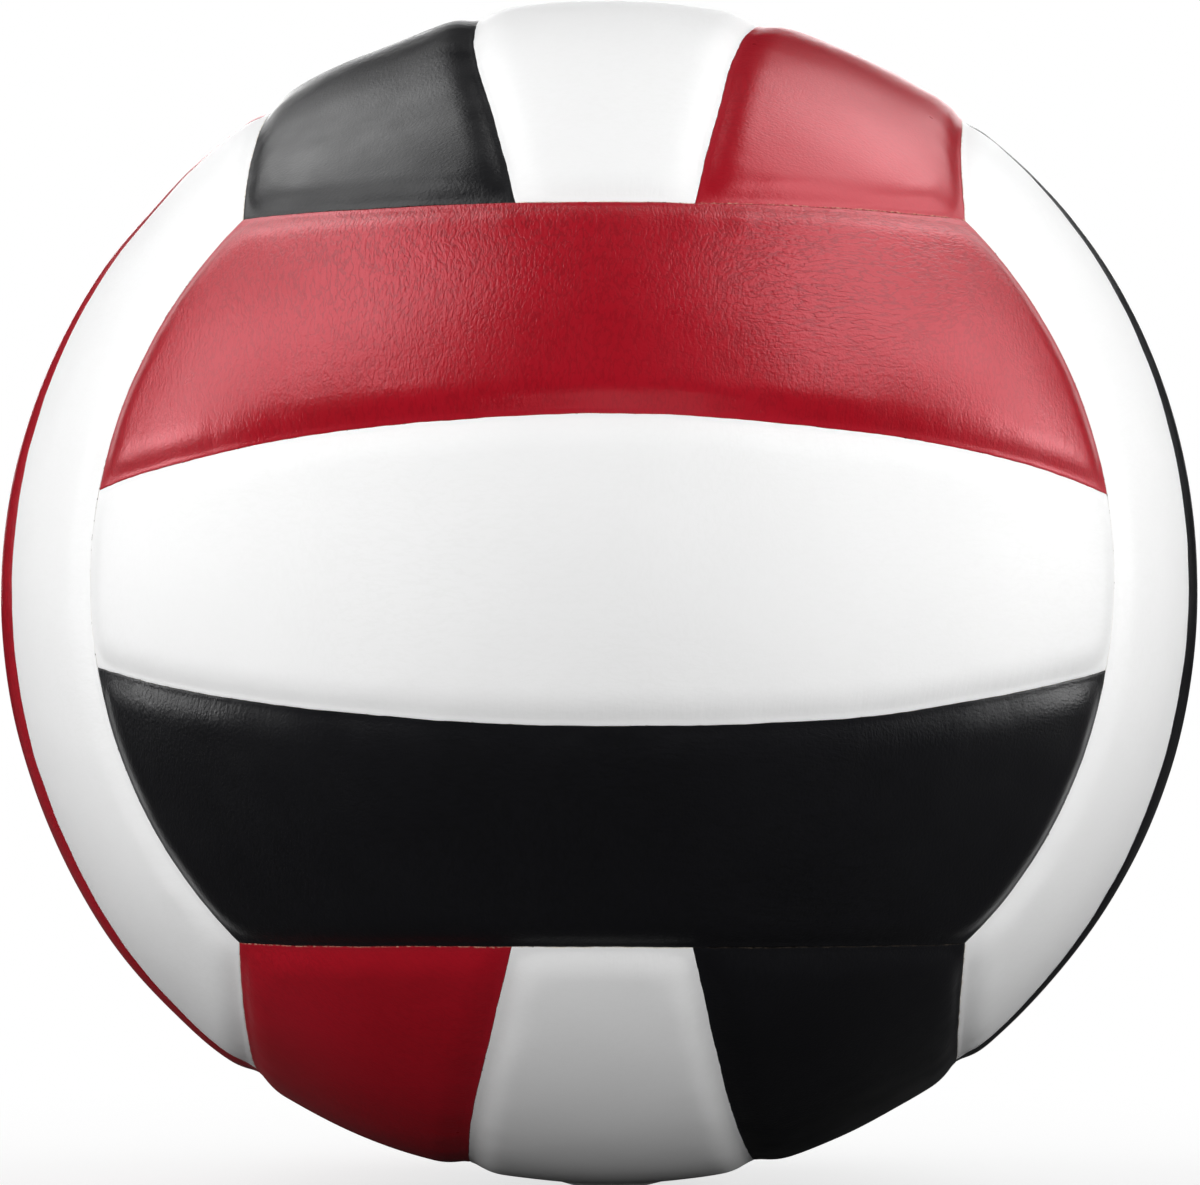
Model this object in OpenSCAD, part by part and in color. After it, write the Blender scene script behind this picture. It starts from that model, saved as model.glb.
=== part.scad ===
// A leather volleyball: eighteen panels in six faces of three strips, cemented over foam, a
// moulded rubber carcass, a nylon winding and a butyl bladder with its valve.
// The ball's centre is the origin, +Z is up, and the valve sits at -Z.

/* [Ball] */
// Diameter over the crowns of the panels
ball_d = 210; // [190:1:230]
// Angle from a face's middle line to the seams beside its middle strip
strip_angle = 13.7; // [11:0.1:17]

/* [Panels] */
// Thickness of the leather
leather_t = 0.9; // [0.6:0.1:1.4]
// Depth of the foam and its cement under the middle of a panel
pad_t = 2.2; // [2:0.1:3]
// How far the leather beside a seam lies below the crowns
seam_drop = 1.4; // [1:0.1:2]
// Width of the flat edge beside a seam
flange_w = 1.2; // [1:0.1:3]
// Radius of the shoulder between the flat edge and the crown
shoulder_r = 8; // [4:0.5:10]
// Angle at which the shoulder meets the crown
shoulder_angle = 12; // [8:1:18]
// Gap between neighbouring panels
seam_gap = 0.2; // [0.1:0.05:0.4]

/* [Core] */
// Thickness of the moulded rubber carcass
carcass_t = 0.4; // [0.3:0.1:1]
// Thickness of the nylon winding
winding_t = 0.5; // [0.3:0.1:1]
// Thickness of the bladder
bladder_t = 0.5; // [0.4:0.1:1]
// Film of cement between two layers
cement_t = 0.05; // [0.03:0.01:0.1]

/* [Valve] */
// Diameter of the valve's neck
neck_d = 8; // [7:0.5:10]
// Gap between the neck and the layers that it passes through
neck_gap = 0.15; // [0.1:0.05:0.3]
// How far the neck stops below the crown
neck_drop = 0.5; // [0.3:0.1:0.8]
// Length of the stem inside the bladder
stem_l = 9; // [7:0.5:14]
// Diameter of the stem inside the bladder
stem_d = 9; // [8:0.5:12]
// Diameter of the flange that joins the valve to the bladder
flange_d = 26; // [20:1:34]
// Thickness of that flange
flange_t = 1.2; // [0.8:0.1:2]
// Diameter of the plug's body
plug_d = 4.8; // [4:0.2:5.4]
// Gap between the plug and the stem
plug_gap = 0.05; // [0.03:0.01:0.1]
// Diameter of the plug's head
plug_head_d = 6.2; // [5.8:0.1:6.6]
// Thickness of the plug's head
plug_head_t = 1; // [0.6:0.1:1.6]
// Depth of the needle's bore in the plug
needle_depth = 8; // [5:0.5:9]
// Diameter of the needle's bore
needle_d = 2; // [1.6:0.1:2.4]
// Depth of the bore's countersunk mouth
mouth_depth = 0.4; // [0.2:0.1:0.6]

/* [Hidden] */
// Smoothness of round shapes
$fn = 180;
// Overrun of a cut past the surface that it opens
over = 1;

// The faces are a cube's, so three of them meet where the latitudes of their edges do
edge_colat = acos(1 / sqrt(3));

// Radii of the layers, from the outside in
crown_r = ball_d / 2;
seam_r = crown_r - seam_drop;
carcass_r = crown_r - leather_t - pad_t;
winding_r = carcass_r - carcass_t - cement_t;
bladder_r = winding_r - winding_t - cement_t;
bladder_inner_r = bladder_r - bladder_t;

// Radius at which the shoulder's arc is centred, from its angle with the crown
arc_r = sqrt(pow(crown_r, 2) + pow(shoulder_r, 2) - 2 * crown_r * shoulder_r * cos(shoulder_angle));
// Distances of the valve's parts from the ball's centre, and the wall below its plug
neck_top = crown_r - neck_drop;
stem_end = bladder_inner_r - flange_t - stem_l;
plug_seat = neck_top - plug_head_t;
plug_wall = (stem_d - plug_d) / 2;
plug_end = stem_end + plug_wall;

// Angles from the seam to the panel's edge, and from the seam to the shoulder's arc centre
gap_back = length_angle(seam_gap / 2);
arc_back = length_angle(seam_gap / 2 + flange_w) + arc_foot_angle();

// Radii between which the crown's cutting shapes lie: inside the shoulder's round, and clear of
// the crown between their corners
root_share = 0.5;
root = arc_r - shoulder_r * root_share;
reach_share = 1.3;
reach = crown_r * reach_share;
sector_step = 30;

LEATHER_RED = "#b4152a";
LEATHER_BLACK = "#17181c";
LEATHER_WHITE = "#f4f4f2";

// Each face: its name, the turn that brings the top face to it, and the name and the colour of
// its strips, in the order that they have on the top face from -X to +X
FACES = [
    ["front", [90, 90, 0], [["upper", LEATHER_RED], ["middle", LEATHER_WHITE], ["lower", LEATHER_BLACK]]],
    ["back", [90, 90, 180], [["upper", LEATHER_RED], ["middle", LEATHER_WHITE], ["lower", LEATHER_BLACK]]],
    ["top", [0, 0, 0], [["left", LEATHER_BLACK], ["middle", LEATHER_WHITE], ["right", LEATHER_RED]]],
    ["bottom", [0, 180, 0], [["right", LEATHER_BLACK], ["middle", LEATHER_WHITE], ["left", LEATHER_RED]]],
    ["left", [90, 0, -90], [["rear", LEATHER_WHITE], ["middle", LEATHER_RED], ["front", LEATHER_WHITE]]],
    ["right", [90, 0, 90], [["front", LEATHER_WHITE], ["middle", LEATHER_BLACK], ["rear", LEATHER_WHITE]]]
];
// Each strip: its name, its face's turn, its side of the face from -1 to 1, and its colour
STRIPS = [
    for (face = FACES)
        for (i = [0 : len(face[2]) - 1])
            [str(face[0], "_", face[2][i][0]), face[1], i - 1, face[2][i][1]]
];
VALVE_STRIP = "bottom_middle";
CORE = ["carcass", "winding", "bladder", "valve_housing", "valve_plug"];

// The angle that a length along the seam takes at the ball's centre
function length_angle(length) = length / seam_r * 180 / PI;

// The angle from the shoulder's arc centre to the arc's foot at the seam's level
function arc_foot_angle() =
    acos((pow(seam_r, 2) + pow(arc_r, 2) - pow(shoulder_r, 2)) / (2 * seam_r * arc_r));

// A point of a half plane, from its radius and its angle off the pole
function polar(r, colat) = r * [sin(colat), cos(colat)];

// The outline of what a seam's plane leaves on the pole's side, or on the other side of it
module seam_outline(colat, pole_side) {
    translate([0, polar(seam_r, colat)[1] - (pole_side ? 0 : reach)]) square([reach, reach]);
}

// The outline of what the shoulder leaves between two angles off the pole: a ring sector, with
// the shoulder's round standing out of it at one of the angles
module crown_outline(from, to, round_colat, round_r) {
    steps = ceil((to - from) / sector_step);
    angles = [for (i = [0 : steps]) from + (to - from) * i / steps];
    outside = [for (i = [steps : -1 : 0]) polar(reach, angles[i])];
    inside = [for (i = [0 : steps]) polar(root, angles[i])];
    polygon(concat(outside, inside));
    translate(polar(arc_r, round_colat)) circle(r = round_r);
}

// The space within a face's two ends, up to the seam or, with a round, up to the shoulder
module ends(round_r) {
    colat = edge_colat - arc_back;
    rotate_extrude()
        if (round_r > 0)
            crown_outline(0, colat, colat, round_r);
        else
            seam_outline(edge_colat - gap_back, true);
}

// The space within a face's side at +X
module side_edge(round_r) {
    colat = edge_colat + arc_back;
    rotate([0, 90, 0])
        rotate_extrude()
            if (round_r > 0)
                crown_outline(colat, 90, colat, round_r);
            else
                seam_outline(edge_colat + gap_back, false);
}

// The space on the upper side of a seam between two strips, whose plane holds the Y axis
module strip_edge(tilt, round_r) {
    colat = 90 - arc_back;
    rotate([0, tilt, 0])
        rotate([0, 0, 90])
            rotate_extrude()
                if (round_r > 0)
                    crown_outline(0, colat, colat, round_r);
                else
                    seam_outline(90 - gap_back, true);
}

// A ball with its poles on the Y axis, away from the top face's strips
module ball(r) {
    rotate([-90, 0, 0]) sphere(r = r);
}

// A ball cut down to a strip of the top face: the middle one, or one beside it
module strip_cut(side, r, round_r) {
    if (side == 0)
        intersection() {
            ball(r);
            ends(round_r);
            strip_edge(strip_angle - 90, round_r);
            strip_edge(90 - strip_angle, round_r);
        }
    else
        rotate([0, 0, side > 0 ? 0 : 180])
            intersection() {
                ball(r);
                ends(round_r);
                side_edge(round_r);
                strip_edge(90 + strip_angle, round_r);
            }
}

// The raised middle of a strip, at a depth under the leather's outer surface
module crown(side, depth) {
    strip_cut(side, crown_r - depth, shoulder_r - depth);
}

// The whole strip up to its seams, at a depth under the leather's outer surface
module strip_body(side, depth) {
    union() {
        strip_cut(side, seam_r - depth, 0);
        crown(side, depth);
    }
}

// The way that the valve's neck takes through the layers at +Z
module neck_way() {
    cylinder(d = neck_d + 2 * neck_gap, h = crown_r + over);
}

module leather_strip(side) {
    difference() {
        strip_body(side, 0);
        ball(seam_r - leather_t);
        crown(side, leather_t);
    }
}

module foam_strip(side) {
    difference() {
        strip_body(side, leather_t + cement_t);
        ball(carcass_r + cement_t);
    }
}

// Cuts the neck's way through the strip that holds the valve
module valve_cut(strip) {
    if (strip[0] == VALVE_STRIP)
        difference() {
            children();
            neck_way();
        }
    else
        children();
}

module panel(strip) {
    color(strip[3]) rotate(strip[1]) valve_cut(strip) leather_strip(strip[2]);
}

module pad(strip) {
    color("#e8dfc8") rotate(strip[1]) valve_cut(strip) foam_strip(strip[2]);
}

// A closed layer of the core, with the neck's way at -Z
module layer(outer_r, t) {
    difference() {
        sphere(r = outer_r);
        sphere(r = outer_r - t);
        rotate([180, 0, 0]) neck_way();
    }
}

module carcass() {
    color("#3a3a3c") layer(carcass_r, carcass_t);
}

module winding() {
    color("#d9d6cb") layer(winding_r, winding_t);
}

module bladder() {
    color("#202022") layer(bladder_r, bladder_t);
}

// The valve's parts are drawn with their mouth towards +Z, and turned over to the underside
module valve_housing() {
    color("#111113")
        rotate([180, 0, 0])
            difference() {
                union() {
                    intersection() {
                        sphere(r = bladder_inner_r - cement_t);
                        cylinder(d = flange_d, h = crown_r);
                    }
                    cylinder(d = neck_d, h = neck_top);
                }
                difference() {
                    sphere(r = bladder_inner_r - flange_t);
                    cylinder(d = stem_d, h = crown_r);
                }
                cylinder(d = stem_d + over, h = stem_end);
                translate([0, 0, plug_end]) cylinder(d = plug_d + 2 * plug_gap, h = crown_r);
                translate([0, 0, plug_seat - plug_gap])
                    cylinder(d = plug_head_d + 2 * plug_gap, h = plug_head_t + plug_gap + over);
            }
}

module valve_plug() {
    color("#2a2a2d")
        rotate([180, 0, 0])
            difference() {
                union() {
                    translate([0, 0, plug_end + plug_gap]) cylinder(d = plug_d, h = plug_seat - plug_end);
                    translate([0, 0, plug_seat]) cylinder(d = plug_head_d, h = plug_head_t);
                }
                translate([0, 0, neck_top - needle_depth]) cylinder(d = needle_d, h = needle_depth + over);
                translate([0, 0, neck_top - mouth_depth])
                    cylinder(d1 = needle_d, d2 = needle_d + 4 * mouth_depth, h = 2 * mouth_depth);
            }
}

for (strip = STRIPS) panel(strip);
for (strip = STRIPS) pad(strip);
carcass();
winding();
bladder();
valve_housing();
valve_plug();
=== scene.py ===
import math

import bmesh
import bpy
from mathutils import Euler, Matrix, Vector, noise


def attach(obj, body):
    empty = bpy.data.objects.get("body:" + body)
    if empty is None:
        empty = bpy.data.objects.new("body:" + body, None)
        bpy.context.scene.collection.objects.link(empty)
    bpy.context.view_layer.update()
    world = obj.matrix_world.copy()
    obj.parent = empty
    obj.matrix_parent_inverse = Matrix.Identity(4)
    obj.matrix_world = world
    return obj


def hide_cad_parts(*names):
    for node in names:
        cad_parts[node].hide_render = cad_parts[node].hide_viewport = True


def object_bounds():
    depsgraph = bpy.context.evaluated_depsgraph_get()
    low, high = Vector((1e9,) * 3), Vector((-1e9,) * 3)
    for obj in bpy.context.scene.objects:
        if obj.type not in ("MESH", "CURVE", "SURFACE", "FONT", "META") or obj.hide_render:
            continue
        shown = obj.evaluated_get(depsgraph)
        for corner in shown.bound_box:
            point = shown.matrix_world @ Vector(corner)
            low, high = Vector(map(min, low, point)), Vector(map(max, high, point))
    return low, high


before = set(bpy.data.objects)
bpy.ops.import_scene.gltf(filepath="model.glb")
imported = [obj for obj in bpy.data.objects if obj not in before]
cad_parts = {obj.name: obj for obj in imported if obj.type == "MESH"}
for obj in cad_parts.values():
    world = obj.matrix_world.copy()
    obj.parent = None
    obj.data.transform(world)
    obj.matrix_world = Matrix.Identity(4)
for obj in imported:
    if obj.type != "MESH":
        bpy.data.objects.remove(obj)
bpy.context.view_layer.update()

# Sizes in millimetres, unless a name says otherwise
MM = 0.001
BALL_R = 105.0
STRIP_ANGLE = math.radians(13.7)
EDGE_ANGLE = math.acos(1 / math.sqrt(3))
SEAM_GAP = 0.05
SEAM_DROP = 1.05
FLANGE_W = 1.0
SHOULDER_RUN = 5.4
SHOULDER_POWER = 2.2
CROWN_RISE = 0.3
CROWN_RUN = 6.0
LEATHER_T = 0.9
CEMENT_T = 0.1
CARCASS_R = 101.95
THINNEST_PAD = 0.1
SKIVED_AT = 0.15
NECK_HOLE_R = 4.15

# How many faces a panel has across and along it, and how much closer they lie at its edges
LEATHER_GRID = (76, 260)
FOAM_GRID = (34, 110)
GRADING = 0.22
# How far out the grid is refined round the valve's neck, and its rim pulled to the hole, in radii of the hole
REFINED_OUT_TO = (3.2, 1.7)
RIM_OUT_TO = 1.5

RED, WHITE, BLACK = "leather_red", "leather_white", "leather_black"
# Each face: its turn from the top face, and its strips' names and leathers from -X to +X on the top face
FACES = {
    "front": ((90, 90, 0), (("upper", RED), ("middle", WHITE), ("lower", BLACK))),
    "back": ((90, 90, 180), (("upper", RED), ("middle", WHITE), ("lower", BLACK))),
    "top": ((0, 0, 0), (("left", BLACK), ("middle", WHITE), ("right", RED))),
    "bottom": ((0, 180, 0), (("right", BLACK), ("middle", WHITE), ("left", RED))),
    "left": ((90, 0, -90), (("rear", WHITE), ("middle", RED), ("front", WHITE))),
    "right": ((90, 0, 90), (("front", WHITE), ("middle", BLACK), ("rear", WHITE))),
}
VALVE_STRIP = "bottom_middle"
# How boldly each panel's leather is wrinkled, by the part of the hide that it was cut from
BOLD = {
    "front_upper": 0.4,
    "front_lower": 0.45,
    "back_upper": 0.6,
    "back_lower": 0.5,
    "left_middle": 0.5,
    "right_middle": 0.5,
}
BOLD_ELSEWHERE = 0.25
# Where the front upper panel was stretched: X and Z of the place, its half width, how bold the wrinkles are
# there, and whether they run along the strip
STRETCHED = (
    (-0.37, 0.51, 0.17, 0.65, 0),
    (-0.12, 0.55, 0.15, 0.3, 0),
    (0.2, 0.5, 0.17, 0.2, 0),
    (0.46, 0.56, 0.18, 0.6, 1),
    (0.33, 0.44, 0.12, 0.35, 1),
    (-0.62, 0.42, 0.15, 0.1, 0),
)

# How seams wander: how far, as a share of the radius, how closely it varies, and its place in the noise
SLOW_WANDER = (0.0042, 2.6, (3.1, 7.7, 1.3))
QUICK_WANDER = (0.0012, 11.0, (9.2, 0.4, 5.5))
RAGGED_CUT = (0.0008, 48.0, (2.7, 6.1, 8.8))
RAGGED_RUN = 0.5
# Vector noise starts from the clock unless its seed is set
WANDER_SEED = 7
noise.seed_set(WANDER_SEED)
# How far to the right the top and bottom faces' strips were laid at X = 0, and how much more per radius of X
TOP_LAID_RIGHT = (3.5, 1.2)
BOTTOM_LAID_RIGHT = (2.3, 2.8)

# The leather's unevenness. Flange and crown: height and length of each wave, and its place in the noise
FLANGE_WAVES = ((0.06, 9, 3), (0.03, 2.6, 5))
CROWN_WAVES = ((0.22, 34, 0), (0.07, 13, 11))
CROWN_SLACK = 0.05
CROWN_WAVES_FROM, CROWN_WAVES_FULL = 3, 14
# Puckers: height, length along the seam, how far from it they keep their shape, and their place in the noise
PUCKERS = ((0.11, 6.5, 30, 0), (0.03, 2.4, 12, 40))
PUCKERS_AT, PUCKERS_SPREAD = 4.2, 2.8
# How softly shoulders meet at a corner and rise from the flange, and how the cut edge rolls down
CORNER_SOFTNESS, FOOT_SOFTNESS = 1.7, 0.7
EDGE_ROLL, EDGE_ROLL_RUN = 0.07, 0.2


def clamp(value):
    return min(1.0, max(0.0, value))


def smooth_step(low, high, value):
    """0 up to low, 1 from high on, and an S between them."""
    t = clamp((value - low) / (high - low))
    return t * t * (3 - 2 * t)


def graded(share):
    """Moves evenly spread shares from -1 to 1 closer together at both ends."""
    return share + GRADING * math.sin(math.pi * share)


# The panels' outlines, on the top face: x = cos(lat) sin(lon), y = sin(lat), z = cos(lat) cos(lon)
def direction(lon, lat):
    return Vector((math.cos(lat) * math.sin(lon), math.sin(lat), math.cos(lat) * math.cos(lon)))


def end_lat(lon, back):
    """Latitude of the seam across a strip's end, with the edge held back from it by an angle."""
    return math.acos(math.cos(EDGE_ANGLE - back) / math.cos(lon))


def strip_lon(lat, back):
    """Longitude of the seam between two strips; a negative angle holds back the edge of the middle one."""
    return STRIP_ANGLE + math.asin(math.sin(back) / math.cos(lat))


def side_lon(lat, back):
    """Longitude of the seam along the face's side."""
    return math.asin(math.cos(EDGE_ANGLE + back) / math.cos(lat))


def middle_point(across, along, back):
    """A point of the middle strip, from shares across and along it."""
    lon = across * STRIP_ANGLE
    lat = along * end_lat(lon, back)
    lon = across * strip_lon(lat, -back)
    return lon, along * end_lat(lon, back)


def outer_point(across, along, back):
    """A point of the strip at +X: the patch between the seams at its four edges."""
    lon = strip_lon(math.radians(53.5), back)
    for _ in range(4):
        inner_end = end_lat(lon, back)
        lon = strip_lon(inner_end, back)
    corner = Vector((math.cos(EDGE_ANGLE + back), 0, math.cos(EDGE_ANGLE - back)))
    outer_end = math.acos(corner.length)
    outer_lon = math.atan2(corner.x, corner.z)
    u = (across + 1) / 2
    v = (along + 1) / 2

    def inner(t):
        return Vector((strip_lon(t * inner_end, back), t * inner_end))

    def outer(t):
        return Vector((side_lon(t * outer_end, back), t * outer_end))

    end_lon = lon + u * (outer_lon - lon)
    end = Vector((end_lon, end_lat(end_lon, back)))
    far, near = end, Vector((end.x, -end.y))
    sides = inner(along) * (1 - u) + outer(along) * u
    ends = near * (1 - v) + far * v
    corners = (inner(-1) * (1 - u) + outer(-1) * u) * (1 - v) + (inner(1) * (1 - u) + outer(1) * u) * v
    return tuple(sides + ends - corners)


def seam_distances(side, lon, lat):
    """Distances to the seams at a strip's ends and at its two sides."""
    point = direction(lon, lat)
    ends = EDGE_ANGLE - math.acos(point.z)
    if side == 0:
        sides = [math.asin(math.cos(lat) * math.sin(STRIP_ANGLE + sign * lon)) for sign in (-1, 1)]
    else:
        sides = [math.asin(math.cos(lat) * math.sin(lon - STRIP_ANGLE)), math.acos(point.x) - EDGE_ANGLE]
    return [BALL_R * angle for angle in (ends, *sides)]


# Where the ball isn't quite round: angle in the plane that faces the viewer, half width, and height in mm
OUT_OF_ROUND = (
    (36, 24, 1.22), (187, 28, 0.85), (218, 9, 0.7), (130, 18, -1.03), (112.5, 6, -1.2), (93, 13, -0.6),
    (262, 20, -1.02), (298, 5, -0.4), (316, 10, -0.3), (67, 7, -0.2), (55.5, 3, 0.7), (140.5, 4, -0.35),
    (229.5, 4, 0.35),
)
# They reach this far in front of and behind that plane
REACH = 26
LOWEST_LEATHER = -2.6


def out_of_round(place):
    """Height over a round ball; nothing at the valve, where the panel lies flush with the moulded neck."""
    total = 0.0
    aside = math.degrees(math.asin(place.y))
    for angle, width, height in OUT_OF_ROUND:
        round_by = (math.degrees(math.atan2(place.z, place.x)) - angle + 180) % 360 - 180
        round_by *= math.cos(math.radians(aside))
        total += height * math.exp(-((round_by / width) ** 2) - (aside / max(width, REACH)) ** 2)
    if place.z < 0:
        total *= smooth_step(5, 11, BALL_R * math.hypot(place.x, place.y))
    return total


def hide(name, place):
    """How boldly the leather is wrinkled at a place, and how far the wrinkles run along the strip."""
    bold = BOLD.get(name, BOLD_ELSEWHERE)
    if name == "front_upper":
        lengthwise = 0.0
        for x, z, width, more, runs_along in STRETCHED:
            share = math.exp(-(((place.x - x) ** 2 + (place.z - z) ** 2) / width ** 2))
            bold += more * share
            lengthwise += runs_along * share
    else:
        bold *= 1 + 1.2 * wave(30, place, 3.3)
        lengthwise = smooth_step(-0.05, 0.25, wave(45, place, 8.1))
    return clamp(bold), clamp(1.5 * lengthwise)


def wander(place, from_seam):
    """Shifts a direction a little, so that seams wander as hand-laid ones do; both panels at one agree."""
    slow, quick, ragged = (
        noise.noise_vector(place * closeness + Vector(start)) * amount
        for amount, closeness, start in (SLOW_WANDER, QUICK_WANDER, RAGGED_CUT)
    )
    ragged *= math.exp(-((from_seam / RAGGED_RUN) ** 2))
    # The top and bottom panels were laid to the right of the middle, most of all halfway to the back
    halfway = math.cos(math.pi / 2 * min(1, abs(place.y) / math.cos(EDGE_ANGLE))) ** 2
    in_middle, by_x = TOP_LAID_RIGHT if place.z > 0 else BOTTOM_LAID_RIGHT
    right = in_middle + by_x * place.x
    right *= halfway * smooth_step(0.35, 0.8, abs(place.z)) / BALL_R
    return (place + slow + quick + ragged + Vector((right, 0, 0))).normalized()


def wave(length, place, seed):
    """Smooth noise about -1 to 1 whose humps are about that long."""
    return noise.noise(place * (BALL_R / length) + Vector((seed, seed * 1.7, -seed)))


def waves(layers, place, seed):
    return sum(height * wave(length, place, seed + more) for height, length, more in layers)


def leather_height(distances, alongs, place, seed):
    """How far the leather's outer side lies from the crowns' radius, from the distance to each seam and the
    place along it."""
    nearest = min(distances)
    weights = [math.exp(-d / CORNER_SOFTNESS) for d in distances]
    crown_at = -CORNER_SOFTNESS * math.log(sum(weights))
    past = crown_at - FLANGE_W
    t = clamp((past + math.hypot(past, FOOT_SOFTNESS)) / 2 / SHOULDER_RUN)
    rise = 1 - (1 - t) ** SHOULDER_POWER
    # The flange: its cut edge rolls down, and it lies unevenly in the cement
    flange = waves(FLANGE_WAVES, place, seed)
    roll = EDGE_ROLL * math.exp(-((nearest / EDGE_ROLL_RUN) ** 2))
    # The crown: it rises a little over its whole width, and the leather is unevenly pulled
    dome = CROWN_RISE * math.exp(-crown_at / CROWN_RUN)
    inside = smooth_step(CROWN_WAVES_FROM, CROWN_WAVES_FULL, crown_at)
    lumps = inside * (waves(CROWN_WAVES, place, seed) - CROWN_SLACK)
    # Puckers run in from each seam, where the leather is gathered round the pad's edge
    gathers = 0.0
    for i, (weight, along) in enumerate(zip(weights, alongs)):
        puckers = sum(
            height * noise.noise(Vector((along / length, seed + more + 7 * i, nearest / keeps)))
            for height, length, keeps, more in PUCKERS
        )
        gathers += weight / sum(weights) * puckers
    gathers *= math.exp(-(((crown_at - PUCKERS_AT) / PUCKERS_SPREAD) ** 2))
    return -SEAM_DROP * (1 - rise) - dome + (1 - rise) * flange - roll + lumps + gathers


def strip_grid(name, turn, side, grid):
    """A strip's outer side as a grid with its seams' distances, and the directions it was laid out by."""
    bm = bmesh.new()
    bmesh.ops.create_grid(bm, x_segments=grid[0], y_segments=grid[1], size=1)
    strip_at = bm.verts.layers.float_vector.new("strip")
    seam_at = bm.verts.layers.float_vector.new("seam")
    hide_at = bm.verts.layers.float_vector.new("hide")
    turned = Euler([math.radians(a) for a in turn], "XYZ").to_matrix()
    if side < 0:
        turned = turned @ Matrix.Rotation(math.pi, 3, "Z")
    seed = 10.0 + 13.7 * sum(ord(letter) * (i + 1) for i, letter in enumerate(name)) % 97
    lay = middle_point if side == 0 else outer_point
    back = SEAM_GAP / 2 / BALL_R
    for v in bm.verts:
        lon, lat = lay(graded(v.co.x), graded(v.co.y), back)
        distances = seam_distances(side, lon, lat)
        nearest, next_nearest = sorted(distances)[:2]
        alongs = [BALL_R * lon + 90 * math.copysign(1, lat), BALL_R * lat, BALL_R * lat]
        along_seam = alongs[distances.index(nearest)]
        place = turned @ direction(lon, lat)
        height = leather_height(distances, alongs, place, seed) + out_of_round(place)
        v.co = wander(place, nearest) * (BALL_R + max(height, LOWEST_LEATHER)) * MM
        v[strip_at] = (BALL_R * lat + 50 * seed, BALL_R * lon * math.cos(lat), 0)
        v[seam_at] = (along_seam + 50 * seed, nearest, next_nearest - nearest)
        v[hide_at] = (*hide(name, place), distances[0])
    for face in bm.faces:
        face.smooth = True
    return bm


def cut_neck_hole(bm, radius):
    """Opens a round hole at -Z, where the valve's neck comes through."""
    def off_axis(co):
        return math.hypot(co.x, co.y) / MM

    for cuts_to in REFINED_OUT_TO:
        near = [v for v in bm.verts if v.co.z < 0 and off_axis(v.co) < radius * cuts_to]
        edges = dict.fromkeys(e for v in near for e in v.link_edges if e.other_vert(v) in near)
        bmesh.ops.subdivide_edges(bm, edges=list(edges), cuts=1, use_grid_fill=True)
    middles = {f: f.calc_center_median() for f in bm.faces}
    inside = [f for f, middle in middles.items() if middle.z < 0 and off_axis(middle) < radius]
    bmesh.ops.delete(bm, geom=inside, context="FACES")
    for v in bm.verts:
        if v.is_boundary and v.co.z < 0 and off_axis(v.co) < radius * RIM_OUT_TO:
            scale = radius / off_axis(v.co)
            v.co = Vector((v.co.x * scale, v.co.y * scale, v.co.z))


def thicken(bm, inner_side):
    """Makes a closed solid of a grid: inner_side moves the copied vertices to its underside."""
    bm.normal_update()
    normals = {v: v.normal.copy() for v in bm.verts}
    outward = sum(1 if v.co.dot(n) > 0 else -1 for v, n in normals.items())
    if outward < 0:
        bmesh.ops.reverse_faces(bm, faces=bm.faces[:])
        bm.normal_update()
    grown = bmesh.ops.extrude_face_region(bm, geom=bm.faces[:], use_keep_orig=True)
    for v in grown["geom"]:
        if isinstance(v, bmesh.types.BMVert):
            inner_side(v)
    bmesh.ops.recalc_face_normals(bm, faces=bm.faces[:])


def finished_piece(name, bm, material, sharp_angle=50):
    mesh = bpy.data.meshes.new(name)
    bm.to_mesh(mesh)
    bm.free()
    mesh.set_sharp_from_angle(angle=math.radians(sharp_angle))
    mesh.materials.append(material)
    piece = bpy.data.objects.new(name, mesh)
    bpy.context.scene.collection.objects.link(piece)
    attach(piece, "root")
    return piece


def make_leather_panel(name, turn, side, slot):
    bm = strip_grid(name, turn, side, LEATHER_GRID)
    if name == VALVE_STRIP:
        cut_neck_hole(bm, NECK_HOLE_R)

    def under_leather(v):
        v.co -= v.normal * LEATHER_T * MM
        if v.co.length < (CARCASS_R + SKIVED_AT) * MM:
            v.co = v.co.normalized() * (CARCASS_R + SKIVED_AT) * MM

    thicken(bm, under_leather)
    piece = finished_piece(f"{name}_leather", bm, LEATHERS[slot])
    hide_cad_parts(f"{name}_panel")


def make_foam_pad(name, turn, side):
    bm = strip_grid(name, turn, side, FOAM_GRID)
    if name == VALVE_STRIP:
        cut_neck_hole(bm, NECK_HOLE_R)
    bm.normal_update()
    sign = 1 if sum(v.co.dot(v.normal) for v in bm.verts) > 0 else -1
    tops = {v: v.co - v.normal * sign * (LEATHER_T + CEMENT_T) * MM for v in bm.verts}
    for v, top in tops.items():
        lowest = (CARCASS_R + THINNEST_PAD) * MM
        v.co = top if top.length > lowest else top.normalized() * lowest

    def on_carcass(v):
        v.co = v.co.normalized() * CARCASS_R * MM

    thicken(bm, on_carcass)
    piece = finished_piece(f"{name}_foam", bm, FOAM)
    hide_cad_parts(f"{name}_pad")


def linear(hex_colour):
    """An sRGB hex colour in the linear values that a socket takes."""
    shares = [int(hex_colour[i:i + 2], 16) / 255 for i in (1, 3, 5)]
    return (*[s / 12.92 if s <= 0.04045 else ((s + 0.055) / 1.055) ** 2.4 for s in shares], 1.0)


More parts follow.
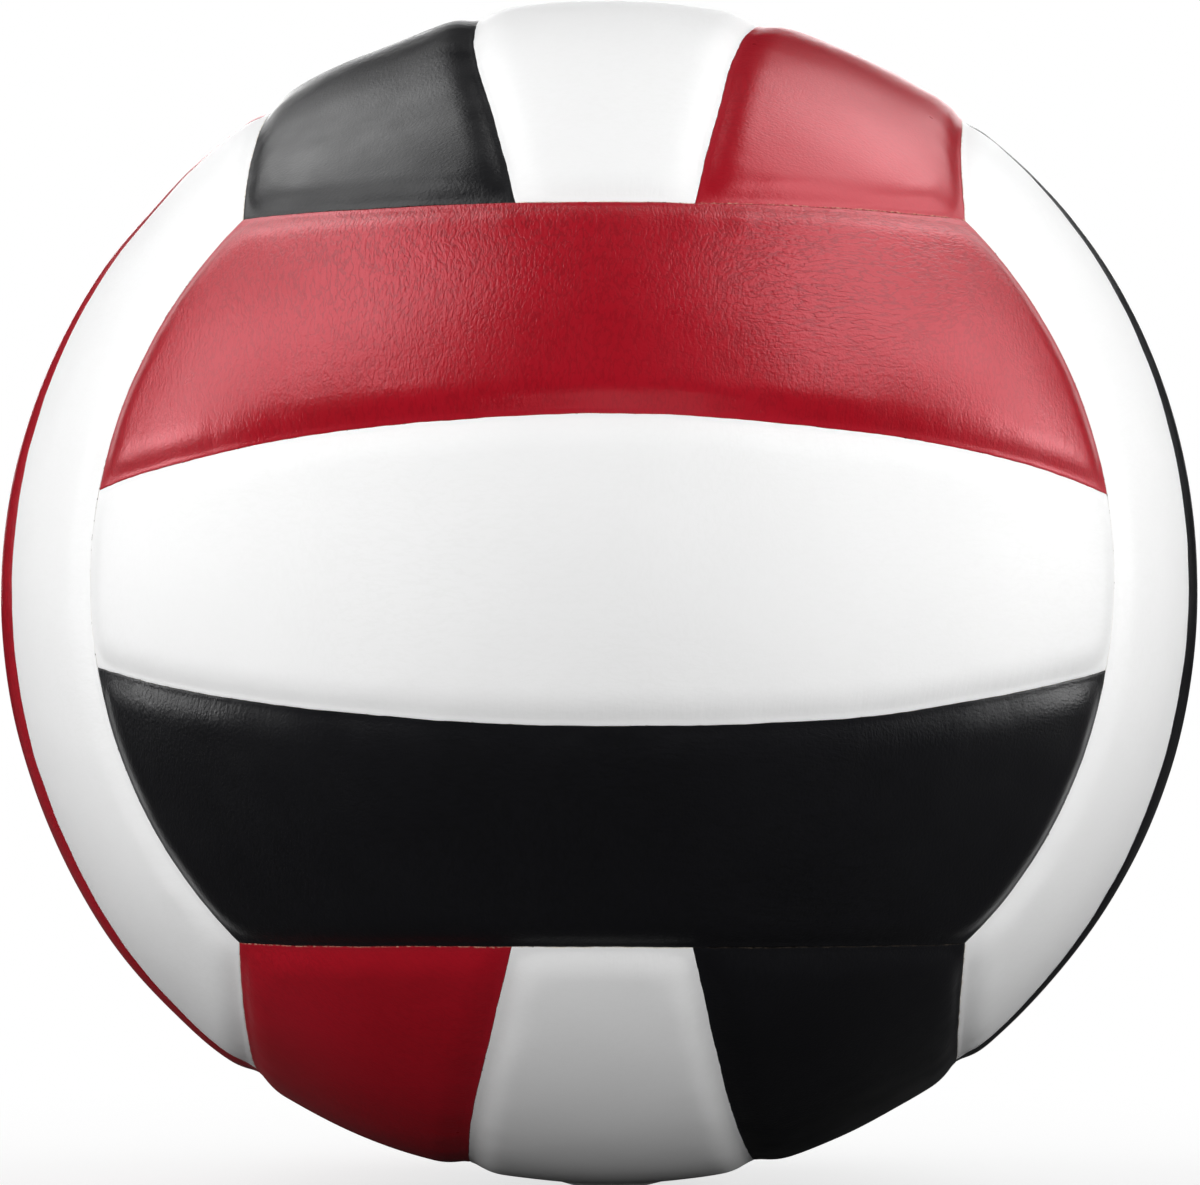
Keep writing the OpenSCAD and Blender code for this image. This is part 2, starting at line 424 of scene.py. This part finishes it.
def add(tree, kind, inputs=None, **settings):
    """Adds a node with its settings. An input is a value, a socket, or a node whose first output is taken."""
    made = tree.nodes.new(f"ShaderNode{kind}")
    for key, value in settings.items():
        setattr(made, key, value)
    for key, value in (inputs or {}).items():
        if isinstance(value, bpy.types.Node):
            value = value.outputs[0]
        if isinstance(value, bpy.types.NodeSocket):
            tree.links.new(value, made.inputs[key])
        else:
            made.inputs[key].default_value = value
    return made


def new_material(name):
    material = bpy.data.materials.new(name)
    material.use_nodes = True
    tree = material.node_tree
    tree.nodes.clear()
    return material, tree


def finish_surface(tree, colour, roughness, height, **constants):
    """The shader at the end of a material; height is in millimetres."""
    bump = add(tree, "Bump", {"Height": height, "Distance": MM, "Strength": 1.0})
    inputs = {"Base Color": colour, "Roughness": roughness, "Normal": bump}
    inputs.update({key.replace("_", " "): value for key, value in constants.items()})
    shader = add(tree, "BsdfPrincipled", inputs)
    add(tree, "OutputMaterial", {"Surface": shader})


# The leather's grain, in millimetres. Folds and creases: size along the strip and across it, first where they
# cross the strip and then where they run along it
FOLDS = ((0.5, 1.2, 1), (1.4, 0.55, 1))
CREASES = ((0.9, 2.6, 1), (3.6, 1.0, 1))
PEBBLE = 0.45
FLOW_LENGTH, FLOW_SHIFT = 14, 3.0
FOLD_HEIGHT, CREASE_DEPTH, PLEAT_HEIGHT, FRAY_HEIGHT = 0.07, 0.016, 0.035, 0.06
PEBBLE_HEIGHT, BOLD_PEBBLE_HEIGHT = 0.022, 0.015


def make_leather(name, colours, roughness, mottle, depth, **constants):
    """Full-grain leather, drum dyed, coated and lightly embossed: a soft satin sheen over a fine pebbled
    grain, wrinkles where it was stretched over its pad, and a bare edge where the panel was cut."""
    material, tree = new_material(name)
    deep, full, flange_tone_wear_and_shading, crease_shade_tone, edge_pale, edge_dark, gap = (linear(c) for c in colours)
    object_at = add(tree, "TexCoord").outputs["Object"]
    at = add(tree, "Mapping", {"Vector": object_at, "Scale": (1 / MM, 1 / MM, 1 / MM)})
    strip = add(tree, "Attribute", attribute_name="strip").outputs["Vector"]
    seam = add(tree, "Attribute", attribute_name="seam").outputs["Vector"]
    seam_parts = add(tree, "SeparateXYZ", {"Vector": seam})
    distance = seam_parts.outputs["Y"]
    hide_at = add(tree, "Attribute", attribute_name="hide").outputs["Vector"]
    hide_parts = add(tree, "SeparateXYZ", {"Vector": hide_at})
    bold, lengthwise, from_end = hide_parts.outputs

    # Pebbled grain, about 0.5 mm from pebble to pebble
    pebbles = add(tree, "TexNoise", {"Vector": at, "Scale": 1 / PEBBLE, "Detail": 1.0})

    # Folds 0.5 mm apart and creases 1 mm apart, across the strip in most places and along it in some
    wobble = add(tree, "TexNoise", {"Vector": at, "Scale": 1 / FLOW_LENGTH, "Detail": 1.0}).outputs["Color"]
    wobble = add(tree, "VectorMath", {0: wobble, 1: (0.5, 0.5, 0.5)}, operation="SUBTRACT")
    wobble = add(tree, "VectorMath", {0: wobble, "Scale": FLOW_SHIFT}, operation="SCALE")
    flow = add(tree, "VectorMath", {0: strip, 1: wobble}, operation="ADD")
    folds, creases = [], []
    for fold, crease in zip(FOLDS, CREASES):
        fold_at = add(tree, "Mapping", {"Vector": flow, "Scale": tuple(1 / size for size in fold)})
        crease_at = add(tree, "Mapping", {"Vector": flow, "Scale": tuple(1 / size for size in crease)})
        folds.append(add(tree, "TexNoise", {"Vector": fold_at, "Scale": 1.0, "Detail": 1.0}))
        creases.append(add(tree, "TexNoise", {"Vector": crease_at, "Scale": 1.0, "Detail": 2.0}))
    folds = add(tree, "Mix", {0: lengthwise, 2: folds[0], 3: folds[1]})
    creases = add(tree, "Mix", {0: lengthwise, 2: creases[0], 3: creases[1]})
    creases = add(tree, "Math", {0: creases, 1: 0.48}, operation="SUBTRACT")
    creases = add(tree, "Math", {0: creases}, operation="ABSOLUTE")
    creases = add(tree, "MapRange", {"Value": creases, "From Max": 0.065, "To Min": 1.0, "To Max": 0.0})
    creases = add(tree, "Math", {0: creases, 1: bold}, operation="MULTIPLY")

    # Fine pleats across the seam, about 1 mm apart, from the flange up to the shoulder, and none at corners
    pleat_at = add(tree, "Mapping", {"Vector": seam, "Scale": (1 / 1.0, 1 / 6, 0)})
    pleats = add(tree, "TexNoise", {"Vector": pleat_at, "Scale": 1.0, "Detail": 2.0})
    foot = {"Value": distance, "From Min": 0.5, "From Max": 1.6}
    foot = add(tree, "MapRange", foot, interpolation_type="SMOOTHSTEP")
    top = {"Value": distance, "From Min": 2.2, "From Max": 6.5, "To Min": 1.0, "To Max": 0.0}
    top = add(tree, "MapRange", top, interpolation_type="SMOOTHSTEP")
    corner = add(tree, "MapRange", {"Value": seam_parts.outputs["Z"], "From Min": 0.5, "From Max": 4.0})
    beside = add(tree, "Math", {0: foot, 1: top}, operation="MULTIPLY")
    beside = add(tree, "Math", {0: beside, 1: corner}, operation="MULTIPLY")
    pleats = add(tree, "Math", {0: pleats, 1: beside}, operation="MULTIPLY")

    # The cut edge is bare at the strips' ends, and frayed over about 0.3 mm
    fray = add(tree, "TexNoise", {"Vector": at, "Scale": 1 / 1.6, "Detail": 4.0, "Roughness": 0.7})
    frayed = add(tree, "Math", {0: fray, 1: 0.8, 2: from_end}, operation="MULTIPLY_ADD")
    bare = {"Value": frayed, "From Min": 0.42, "From Max": 0.62, "To Min": 1.0, "To Max": 0.0}
    bare = add(tree, "MapRange", bare)

    # Between strips the edge is cut unevenly, and the gap's shadow bites into it
    bites = add(tree, "TexNoise", {"Vector": at, "Scale": 1 / 0.9, "Detail": 2.0})
    bitten = add(tree, "Math", {0: bites, 1: -0.9, 2: distance}, operation="MULTIPLY_ADD")
    bitten = {"Value": bitten, "From Min": -0.62, "From Max": -0.5, "To Min": 1.0, "To Max": 0.0}
    bitten = add(tree, "MapRange", bitten)

    # Heights, in millimetres
    height = add(tree, "Math", {0: folds, 1: bold}, operation="MULTIPLY")
    height = add(tree, "Math", {0: height, 1: FOLD_HEIGHT * depth}, operation="MULTIPLY")
    pebbled = {0: bold, 1: BOLD_PEBBLE_HEIGHT * depth, 2: PEBBLE_HEIGHT * depth}
    pebbled = add(tree, "Math", pebbled, operation="MULTIPLY_ADD")
    height = add(tree, "Math", {0: pebbles, 1: pebbled, 2: height}, operation="MULTIPLY_ADD")
    height = add(tree, "Math", {0: creases, 1: -CREASE_DEPTH * depth, 2: height}, operation="MULTIPLY_ADD")
    height = add(tree, "Math", {0: pleats, 1: PLEAT_HEIGHT, 2: height}, operation="MULTIPLY_ADD")
    ragged = add(tree, "Math", {0: fray, 1: bare}, operation="MULTIPLY")
    height = add(tree, "Math", {0: ragged, 1: FRAY_HEIGHT, 2: height}, operation="MULTIPLY_ADD")

    # Colours: the dye varies a little, creases are painted darker as shade in them, and the flange near the
    # seam gets a painted tone, partly wear and partly light and shade
    dye = add(tree, "TexNoise", {"Vector": at, "Scale": 1 / 30, "Detail": 3.0})
    dye = add(tree, "MapRange", {"Value": dye, "From Min": 0.3, "From Max": 0.7})
    colour = add(tree, "MixRGB", {0: dye, 1: deep, 2: full})
    # Painted shade: the creases are darkened towards the crease shade tone
    crease_shade = add(tree, "Math", {0: creases, 1: 0.7}, operation="MULTIPLY")
    colour = add(tree, "MixRGB", {0: crease_shade, 1: colour, 2: crease_shade_tone})
    # Painted light and shade on the flange, partly also wear: near the seam the red's flange is painted
    # lighter, the white's greyer as shade, and the black's a little lighter with wear
    flange_wear_and_shading = {"Value": distance, "From Min": 0.6, "From Max": 1.5, "To Min": 0.35, "To Max": 0.0}
    colour = add(tree, "MixRGB", {0: add(tree, "MapRange", flange_wear_and_shading), 1: colour, 2: flange_tone_wear_and_shading})
    tufts = add(tree, "TexNoise", {"Vector": at, "Scale": 1 / 0.6, "Detail": 2.0})
    tufts = add(tree, "MapRange", {"Value": tufts, "From Min": 0.4, "From Max": 0.6})
    edge_tone = add(tree, "MixRGB", {0: tufts, 1: edge_dark, 2: edge_pale})
    colour = add(tree, "MixRGB", {0: bare, 1: colour, 2: edge_tone})
    colour = add(tree, "MixRGB", {0: bitten, 1: colour, 2: gap})

    # Sheen: the coating is rubbed duller in places, and bare edges are matt
    rubs = add(tree, "TexNoise", {"Vector": at, "Scale": 1 / 9, "Detail": 3.0})
    dull = add(tree, "Math", {0: rubs, 1: mottle, 2: roughness - mottle / 2}, operation="MULTIPLY_ADD")
    matt_edge = add(tree, "Math", {0: bare, 1: bitten}, operation="MAXIMUM")
    matt_edge = add(tree, "Math", {0: matt_edge, 1: 0.9}, operation="MULTIPLY")
    dull = add(tree, "Math", {0: dull, 1: matt_edge}, operation="MAXIMUM")
    finish_surface(tree, colour, dull, height, **constants)
    return material


# Each leather: its deep and full dye, its flange's tone near the seam (partly wear, partly painted light on
# the red and painted shade on the white), the painted shade in its creases, its bare edge's two tones, and the
# shadow that bites into its edge. The red's coating is pigmented, so its sheen is red too.
LEATHERS = {
    RED: make_leather(
        "full_grain_leather_red",
        ("#a20c1c", "#ac1022", "#ae1a2a", "#6c0410", "#c9917c", "#8a1c22", "#52060f"), 0.30, 0.12, 1.1,
        IOR=1.8, Specular_IOR_Level=0.92, Specular_Tint=(1.0, 0.4, 0.44, 1.0),
    ),
    WHITE: make_leather(
        "full_grain_leather_white",
        ("#f5f5f5", "#f7f7f7", "#f2f2f2", "#efefee", "#ece2d6", "#e2dcd3", "#8a8482"), 0.46, 0.12, 0.4,
        Specular_IOR_Level=0.25,
    ),
    BLACK: make_leather(
        "full_grain_leather_black",
        ("#0c0c0f", "#101013", "#121215", "#050506", "#3a332c", "#14110f", "#030304"), 0.37, 0.3, 1.4,
        Specular_IOR_Level=0.65,
    ),
}


def make_plain(name, colours, roughness, coarse, fine, depth, **constants):
    """A material of two tones in soft patches with a fine surface; sizes and depth in millimetres."""
    material, tree = new_material(name)
    object_at = add(tree, "TexCoord").outputs["Object"]
    at = add(tree, "Mapping", {"Vector": object_at, "Scale": (1 / MM, 1 / MM, 1 / MM)})
    patches = add(tree, "TexNoise", {"Vector": at, "Scale": 1 / coarse, "Detail": 2.0})
    grit = add(tree, "TexNoise", {"Vector": at, "Scale": 1 / fine, "Detail": 3.0})
    colour = add(tree, "MixRGB", {0: patches, 1: linear(colours[0]), 2: linear(colours[1])})
    dull = add(tree, "Math", {0: grit, 1: 0.15, 2: roughness - 0.075}, operation="MULTIPLY_ADD")
    height = add(tree, "Math", {0: grit, 1: depth}, operation="MULTIPLY")
    finish_surface(tree, colour, dull, height, **constants)
    return material


def make_thread(name, colours, roughness):
    """Nylon thread wound at random over the bladder and dipped in latex: pale strands 0.9 mm apart that
    cross in every direction, with darker latex between them."""
    material, tree = new_material(name)
    object_at = add(tree, "TexCoord").outputs["Object"]
    at = add(tree, "Mapping", {"Vector": object_at, "Scale": (1 / MM, 1 / MM, 1 / MM)})
    strands = None
    for turn in ((0.3, 0.2, 0.1), (1.2, 0.5, 0.9), (0.6, 1.4, 2.0), (2.2, 0.9, 1.4)):
        lay = add(tree, "Mapping", {"Vector": at, "Rotation": turn})
        wraps = {"Vector": lay, "Scale": 0.35, "Distortion": 1.5, "Detail": 1.0, "Detail Scale": 0.3}
        wraps = add(tree, "TexWave", wraps)
        wraps = add(tree, "Math", {0: wraps.outputs["Fac"], 1: 1.5}, operation="POWER")
        if strands is None:
            strands = wraps
        else:
            strands = add(tree, "Math", {0: strands, 1: wraps}, operation="MAXIMUM")
    colour = add(tree, "MixRGB", {0: strands, 1: linear(colours[1]), 2: linear(colours[0])})
    dull = add(tree, "Math", {0: strands, 1: -0.15, 2: roughness}, operation="MULTIPLY_ADD")
    height = add(tree, "Math", {0: strands, 1: 0.25}, operation="MULTIPLY")
    finish_surface(tree, colour, dull, height)
    return material


# Foamed latex sheet: open pores and a dull cream that has yellowed unevenly
FOAM = make_plain("foamed_latex", ("#e6dcc0", "#d8c99f"), 0.9, 12, 0.6, 0.12, Specular_IOR_Level=0.2)
CORE = {
    # Moulded natural rubber, dusted with talc: matt dark grey
    "carcass": make_plain("moulded_rubber_carcass", ("#2d2d2f", "#3a3a3c"), 0.75, 18, 0.8, 0.03),
    "winding": make_thread("wound_nylon_thread", ("#e2ddcd", "#b3aa92"), 0.6),
    # Butyl rubber, moulded smooth: black with a slight sheen
    "bladder": make_plain("butyl_rubber_moulded", ("#141416", "#1c1c1f"), 0.45, 25, 1.2, 0.01),
    # Moulded valve rubber: black, fine matt texture
    "valve_housing": make_plain("valve_rubber_moulded", ("#131314", "#1d1d1e"), 0.55, 3, 0.25, 0.015),
    # Softer moulded rubber for the plug that grips the needle: charcoal
    "valve_plug": make_plain("plug_rubber_moulded", ("#1f1f21", "#2a2a2c"), 0.5, 2, 0.2, 0.012),
}


for face, (turn, strips) in FACES.items():
    for i, (strip, slot) in enumerate(strips):
        strip_name = f"{face}_{strip}"
        make_leather_panel(strip_name, turn, i - 1, slot)
        make_foam_pad(strip_name, turn, i - 1)

for node_name, material in CORE.items():
    core_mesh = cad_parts[node_name].data
    core_mesh.materials.clear()
    core_mesh.materials.append(material)

# A plain pale floor: to the camera it is white, with the ball's shadow on it near the ball; sizes in metres
FLOOR_HALF_WIDTH = 30
SHADOW_NEAR, SHADOW_FAR = 0.03, 0.3
floor_material, floor_tree = new_material("studio_floor_painted")
rays = add(floor_tree, "LightPath")
floor_at = add(floor_tree, "TexCoord").outputs["Object"]
from_ball = add(floor_tree, "VectorMath", {0: floor_at}, operation="LENGTH").outputs["Value"]
away = {"Value": from_ball, "From Min": SHADOW_NEAR, "From Max": SHADOW_FAR, "To Min": 0.6, "To Max": 1.0}
away = add(floor_tree, "MapRange", away)
lit = add(floor_tree, "BsdfDiffuse", {"Color": linear("#f2f2f2")})
unlit = add(floor_tree, "BsdfDiffuse", {"Color": linear("#404040")})
glow = add(floor_tree, "Emission", {"Color": (1, 1, 1, 1), "Strength": 1.0})
seen = add(floor_tree, "MixShader", {0: away.outputs["Result"], 1: lit.outputs[0], 2: glow.outputs[0]})
floor_shader = add(
    floor_tree, "MixShader", {0: rays.outputs["Is Camera Ray"], 1: unlit.outputs[0], 2: seen.outputs[0]}
)
add(floor_tree, "OutputMaterial", {"Surface": floor_shader.outputs[0]})
floor_bm = bmesh.new()
bmesh.ops.create_grid(floor_bm, x_segments=1, y_segments=1, size=FLOOR_HALF_WIDTH)
bmesh.ops.translate(floor_bm, verts=floor_bm.verts[:], vec=(0, 0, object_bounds()[0][2]))
floor_mesh = bpy.data.meshes.new("floor")
floor_bm.to_mesh(floor_mesh)
floor_bm.free()
floor_mesh.materials.append(floor_material)
floor = bpy.data.objects.new("floor", floor_mesh)
bpy.context.scene.collection.objects.link(floor)

# Studio lights in pairs, 1.4 m away: name, angle off the front, angle up, width and height in metres,
# radiance, and whether the leather's sheen shows it. The front ones are held out of it, so that the panels'
# middles stay deep.
LIGHTS_AT = 1.4
SOFTBOXES = (
    ("front", 8, 3, 0.4, 0.25, 20.0, False),
    ("low_side_soft", 90, 3, 0.4, 0.4, 13.0, False),
    ("low_side", 90, 10, 0.6, 0.4, 3.6, True),
    ("side", 90, 29, 0.6, 0.6, 2.0, True),
    ("high_front", 60, 45, 0.75, 0.75, 2.0, True),
    ("rim", 112, 60, 0.75, 0.75, 1.6, True),
    ("rear", 135, 46, 0.75, 0.75, 1.4, True),
    ("back", 172, 12, 0.4, 0.5, 6.0, True),
)
for light_name, aside, up, width, height, radiance, in_sheen in SOFTBOXES:
    for side_name, sign in (("left", -1), ("right", 1)):
        light = bpy.data.lights.new(f"softbox_{light_name}_{side_name}", "AREA")
        light.shape = "RECTANGLE"
        light.size, light.size_y = width, height
        light.energy = radiance * math.pi * width * height
        lamp = bpy.data.objects.new(light.name, light)
        lamp.visible_glossy = in_sheen
        turn = Euler((math.radians(90 - up), 0, math.radians(sign * aside)), "XYZ")
        lamp.matrix_world = turn.to_matrix().to_4x4() @ Matrix.Translation((0, 0, LIGHTS_AT))
        bpy.context.scene.collection.objects.link(lamp)

# The room gives the ball a trace of light, and is white to the camera
ROOM_FILL = 0.015
world = bpy.data.worlds.new("studio")
bpy.context.scene.world = world
world.use_nodes = True
sky = world.node_tree
sky.nodes.clear()
sky_rays = add(sky, "LightPath")
fill = add(sky, "Background", {"Color": (1, 1, 1, 1), "Strength": ROOM_FILL})
white = add(sky, "Background", {"Color": (1, 1, 1, 1), "Strength": 1.0})
sky_shader = {0: sky_rays.outputs["Is Camera Ray"], 1: fill.outputs[0], 2: white.outputs[0]}
sky_shader = add(sky, "MixShader", sky_shader)
add(sky, "OutputWorld", {"Surface": sky_shader.outputs[0]})

# The camera, found from the seams' corners: its distance in metres, and the ball's tilt before it in radians
CAMERA_AT = 0.8883
TILT_X, TILT_Y, TILT_Z = -0.0356, 0.0028, 0.005
camera_data = bpy.data.cameras.new("camera")
camera_data.sensor_width = 36.0
camera_data.lens = 150.25
camera_data.shift_x = -0.00092
camera_data.shift_y = 0.00067
camera_data.clip_start, camera_data.clip_end = 0.05, 100
camera = bpy.data.objects.new("camera", camera_data)
bpy.context.scene.collection.objects.link(camera)
tilt = Matrix.Rotation(TILT_Z, 3, "Z") @ Matrix.Rotation(TILT_X, 3, "X") @ Matrix.Rotation(TILT_Y, 3, "Y")
untilt = tilt.transposed()
camera_turn = untilt @ Matrix.Rotation(math.pi / 2, 3, "X")
camera.matrix_world = Matrix.LocRotScale(
    untilt @ Vector((0, -CAMERA_AT, 0)), camera_turn.to_quaternion(), None
)
bpy.context.scene.camera = camera
bpy.context.scene.view_settings.view_transform = "Standard"
